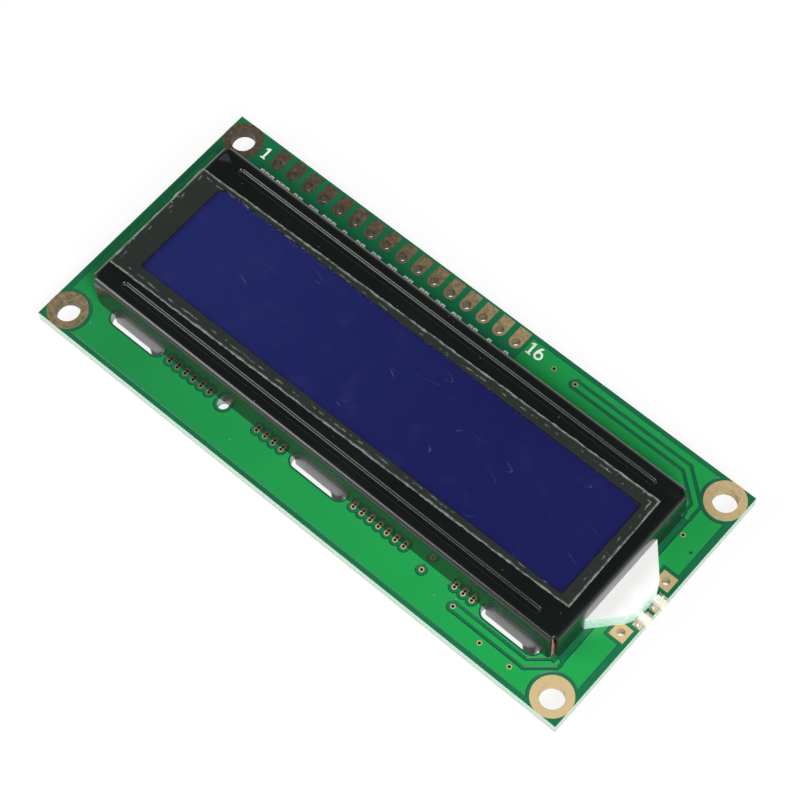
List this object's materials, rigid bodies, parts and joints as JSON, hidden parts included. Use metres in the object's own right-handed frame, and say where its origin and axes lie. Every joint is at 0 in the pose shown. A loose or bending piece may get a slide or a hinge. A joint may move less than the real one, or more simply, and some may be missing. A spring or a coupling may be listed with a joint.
{
  "type": "character lcd module",
  "caption": "Flat character display on a green circuit board: blue window in a black folded metal bezel, edge-lit light guide horn at one end and a row of solder terminals along one side.",
  "frame": {"origin": "middle of the four mounting holes, on the circuit board's rear face", "axes": "+Z out of the viewing side, +X along the board towards the lamp end, +Y across the board towards the terminal row"},
  "size_m": [0.0806, 0.036, 0.0097],
  "materials": {
    "masked_laminate": "glossy green mask over pale laminate",
    "masked_copper": "glossy bright green mask over copper",
    "plated_pads": "satin, bare plated copper",
    "white_print": "flat white ink",
    "contact_rubber": "soft dusty pink silicone",
    "clear_glass": "polished float glass",
    "cell_adhesive": "cured resin",
    "liquid_crystal": "clear blue layer",
    "blue_polariser": "smooth deep blue film",
    "white_film": "plain white film",
    "clear_acrylic": "polished top, frosted cut edges",
    "lamp_body": "white housing with a clear front",
    "tinned_metal": "bright tin and solder",
    "black_sheet_steel": "glossy black lacquer",
    "clear_film": "thin clear peel-off film",
    "black_resin": "smooth poured resin",
    "black_ceramic": "satin glaze",
    "brown_ceramic": "satin"
  },
  "bodies": {
    "root": {"circuit_board": "masked_laminate", "copper_pour": "masked_copper", "rear_copper": "masked_copper", "mounting_rings": "plated_pads", "terminal_pads": "plated_pads", "via_rings": "plated_pads", "supply_pads": "plated_pads", "lamp_pads": "plated_pads", "pin_numbers": "white_print", "pin_marks": "white_print", "front_contact_strip": "contact_rubber", "rear_contact_strip": "contact_rubber", "front_glass": "clear_glass", "rear_glass": "clear_glass", "cell_seal": "cell_adhesive", "end_seal": "cell_adhesive", "liquid_layer": "liquid_crystal", "front_polariser": "blue_polariser", "rear_polariser": "blue_polariser", "reflector_film": "white_film", "diffuser_film": "white_film", "horn_cover": "white_film", "light_guide": "clear_acrylic", "lamps": "lamp_body", "lamp_leads": "tinned_metal", "solder_joints": "tinned_metal", "bezel": "black_sheet_steel", "protective_film": "clear_film", "driver_cover": "black_resin", "controller_cover": "black_resin", "chip_resistors": "black_ceramic", "chip_capacitors": "brown_ceramic", "chip_ends": "tinned_metal"}
  },
  "joints": []
}
